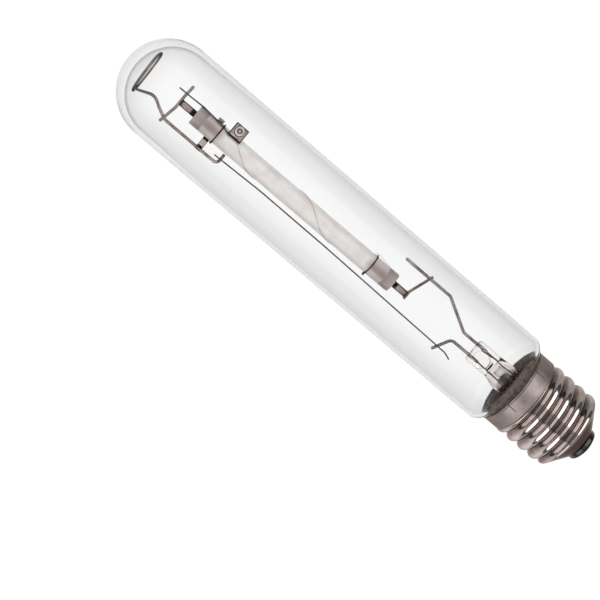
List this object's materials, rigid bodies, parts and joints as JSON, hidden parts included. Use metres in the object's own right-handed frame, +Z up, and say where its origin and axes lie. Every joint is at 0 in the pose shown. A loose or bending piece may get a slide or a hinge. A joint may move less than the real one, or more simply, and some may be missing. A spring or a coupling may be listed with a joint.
{
  "type": "high pressure sodium lamp",
  "caption": "Tubular clear glass discharge lamp with a long ceramic arc tube on a wire frame and a large screw cap.",
  "frame": {"origin": "end of the screw cap: the middle of the centre contact's outer face, on the lamp's axis", "axes": "+X along the lamp from the screw cap to the domed end; the wire frame inside lies nearly flat in the XY plane; +Z is up with the lamp lying on its side"},
  "size_m": [0.2687, 0.046, 0.046],
  "materials": {
    "clear_glass": "clear, smooth",
    "lead_wire": "nickel-plated wire",
    "seal_wire": "thin oxidised wire",
    "frame_wire": "nickel-plated drawn wire",
    "frame_strip": "nickel-plated strip",
    "getter_steel": "plated sheet",
    "getter_powder": "pressed metal powder",
    "tungsten": "drawn wire",
    "alumina": "translucent sintered alumina",
    "plug_alumina": "sintered alumina",
    "seal_glass": "fused sealing glass",
    "niobium": "drawn tube",
    "cap_metal": "nickel-plated rolled brass",
    "cement": "baked capping cement",
    "black_glass": "moulded black glass",
    "contact_brass": "pressed sheet",
    "solder": "soft solder"
  },
  "bodies": {
    "root": {"outer_bulb": "clear_glass", "glass_stem": "clear_glass", "exhaust_tube": "clear_glass", "long_lead": "lead_wire", "short_lead": "lead_wire", "centre_lead": "seal_wire", "shell_lead": "seal_wire", "lead_link": "frame_wire", "return_wire": "frame_wire", "support_wire": "frame_wire", "crossbar": "frame_wire", "tube_strap": "frame_strip", "side_wire": "frame_wire", "getter_plate": "getter_steel", "getter_pill": "getter_powder", "ignition_wire": "tungsten", "ring_clip_dome": "frame_wire", "ring_clip_cap": "frame_wire", "arc_tube": "alumina", "end_plug_dome": "plug_alumina", "end_plug_cap": "plug_alumina", "seal_ring_dome": "seal_glass", "seal_ring_cap": "seal_glass", "niobium_tube_dome": "niobium", "niobium_tube_cap": "niobium", "electrode_dome": "tungsten", "electrode_cap": "tungsten", "screw_shell": "cap_metal", "capping_cement": "cement", "cap_insulator": "black_glass", "centre_contact": "contact_brass", "contact_solder": "solder"}
  },
  "joints": []
}
